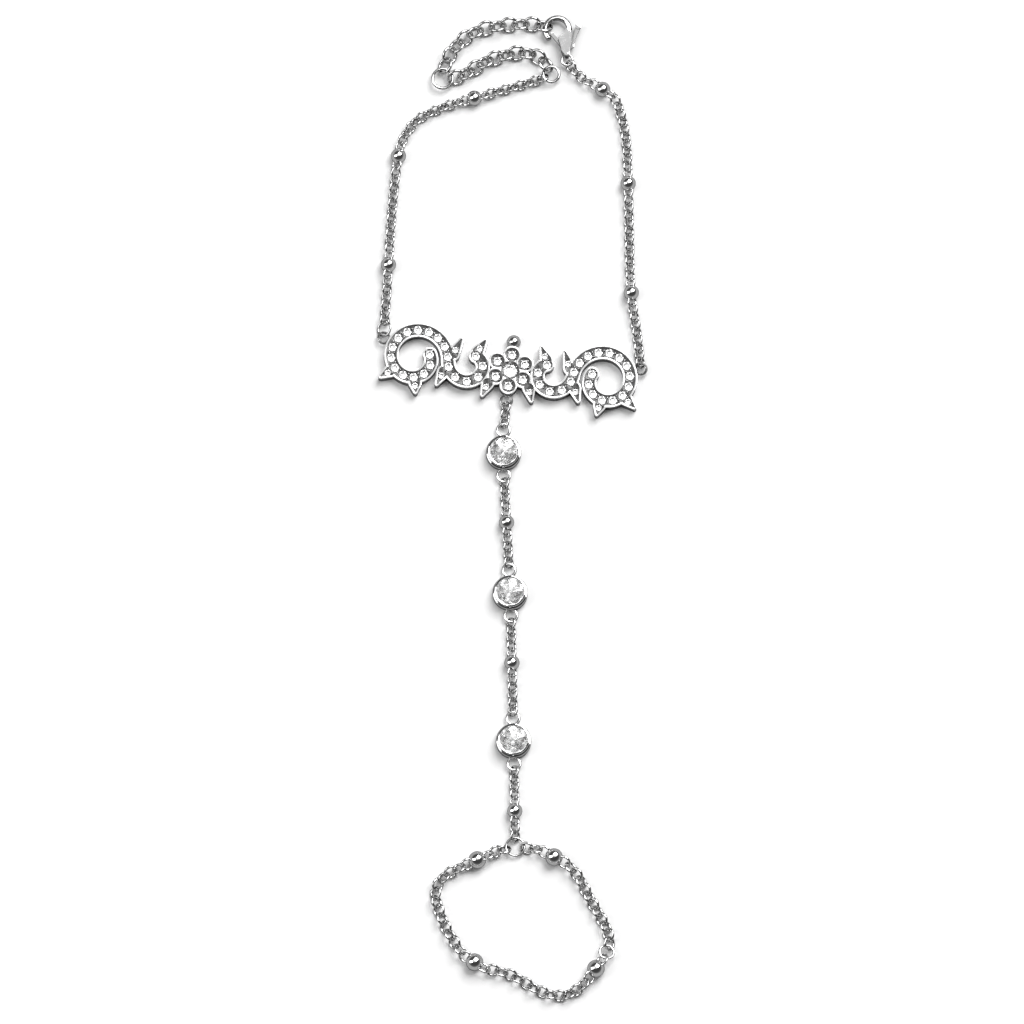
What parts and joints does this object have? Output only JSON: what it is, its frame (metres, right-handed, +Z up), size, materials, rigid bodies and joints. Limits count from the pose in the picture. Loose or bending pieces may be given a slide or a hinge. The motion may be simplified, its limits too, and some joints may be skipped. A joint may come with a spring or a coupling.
{
  "type": "hand chain bracelet",
  "caption": "Hand chain bracelet: wrist chain with a pave scroll plate and lobster clasp, a drop of bezel-set stones down to a finger loop.",
  "frame": {"origin": "on the table under the middle of the whole piece", "axes": "+Z up from the table, +Y from the finger loop to the clasp, +X to the side with the clasp"},
  "size_m": [0.046, 0.1717, 0.003],
  "materials": {
    "polished_silver": "polished",
    "clear_stone": "faceted"
  },
  "bodies": {
    "bracelet": {"scroll_plate": "polished_silver", "pave_stones": "clear_stone", "plate_jump_ring": "polished_silver", "left_wrist_chain": "polished_silver", "right_wrist_chain": "polished_silver", "left_bead_1": "polished_silver", "left_bead_2": "polished_silver", "left_bead_3": "polished_silver", "right_bead_1": "polished_silver", "right_bead_2": "polished_silver", "right_bead_3": "polished_silver", "drop_chain_1": "polished_silver", "drop_chain_2": "polished_silver", "drop_chain_3": "polished_silver", "drop_chain_4": "polished_silver", "drop_bead_1": "polished_silver", "drop_bead_2": "polished_silver", "drop_bead_3": "polished_silver", "bezel_1": "polished_silver", "bezel_2": "polished_silver", "bezel_3": "polished_silver", "stone_1": "clear_stone", "stone_2": "clear_stone", "stone_3": "clear_stone", "finger_ring": "polished_silver", "finger_jump_ring": "polished_silver", "finger_chain_left": "polished_silver", "finger_chain_right": "polished_silver", "finger_bead_1": "polished_silver", "finger_bead_2": "polished_silver", "finger_bead_3": "polished_silver", "finger_bead_4": "polished_silver", "extender_chain": "polished_silver", "turn_ring": "polished_silver", "clasp_body": "polished_silver"},
    "lever": {"clasp_lever": "polished_silver"}
  },
  "joints": [
    {"name": "lever_hinge", "type": "hinge", "parent": "bracelet", "child": "lever", "pos_m": [0.00892, 0.07989, 0.0012], "axis": [0, 0, -1], "range_deg": [0, 22], "stiffness_Nm_per_rad": 0.0002, "springref_deg": -17.19}
  ]
}
